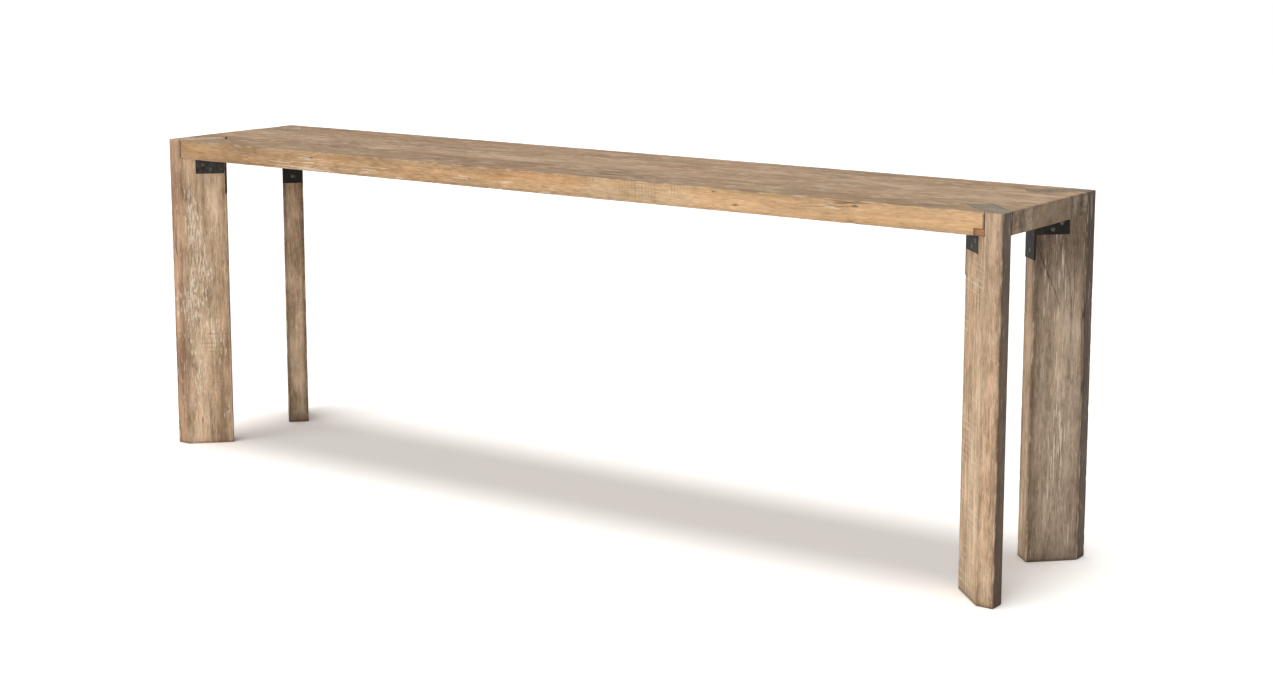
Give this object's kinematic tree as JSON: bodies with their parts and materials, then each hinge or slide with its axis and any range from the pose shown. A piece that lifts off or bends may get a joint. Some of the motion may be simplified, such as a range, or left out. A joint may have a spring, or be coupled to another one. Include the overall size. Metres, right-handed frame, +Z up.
{
  "type": "console table",
  "caption": "Long narrow console table with a thick plank top, diagonal plank legs let into its corners and dark iron angles underneath.",
  "frame": {"origin": "on the floor under the middle of the top", "axes": "+Z up, +X along the length, -Y towards the front"},
  "size_m": [2.44, 0.46, 0.83],
  "materials": {
    "top_wood": "aged, wire brushed, dry oil, long grain with saw marks",
    "leg_wood": "aged, weathered, saw marked, worn edges",
    "patch_wood": "reddish let-in patch, matt",
    "tongue_wood": "planed softwood strip",
    "black_iron": "blackened, waxed, slightly rusty edges",
    "screw_steel": "blackened countersunk slotted heads, rubbed bright on the rims"
  },
  "bodies": {
    "root": {"top_board_front": "top_wood", "top_board_middle": "top_wood", "top_board_back": "top_wood", "edge_patch": "patch_wood", "tongue_front": "tongue_wood", "tongue_back": "tongue_wood", "leg_front_left": "leg_wood", "end_angle_front_left": "black_iron", "side_angle_front_left_long_side": "black_iron", "side_angle_front_left_end_side": "black_iron", "leg_screws_front_left": "screw_steel", "top_screws_front_left": "screw_steel", "leg_front_right": "leg_wood", "end_angle_front_right": "black_iron", "side_angle_front_right_long_side": "black_iron", "side_angle_front_right_end_side": "black_iron", "leg_screws_front_right": "screw_steel", "top_screws_front_right": "screw_steel", "leg_back_left": "leg_wood", "end_angle_back_left": "black_iron", "side_angle_back_left_long_side": "black_iron", "side_angle_back_left_end_side": "black_iron", "leg_screws_back_left": "screw_steel", "top_screws_back_left": "screw_steel", "leg_back_right": "leg_wood", "end_angle_back_right": "black_iron", "side_angle_back_right_long_side": "black_iron", "side_angle_back_right_end_side": "black_iron", "leg_screws_back_right": "screw_steel", "top_screws_back_right": "screw_steel"}
  },
  "joints": []
}
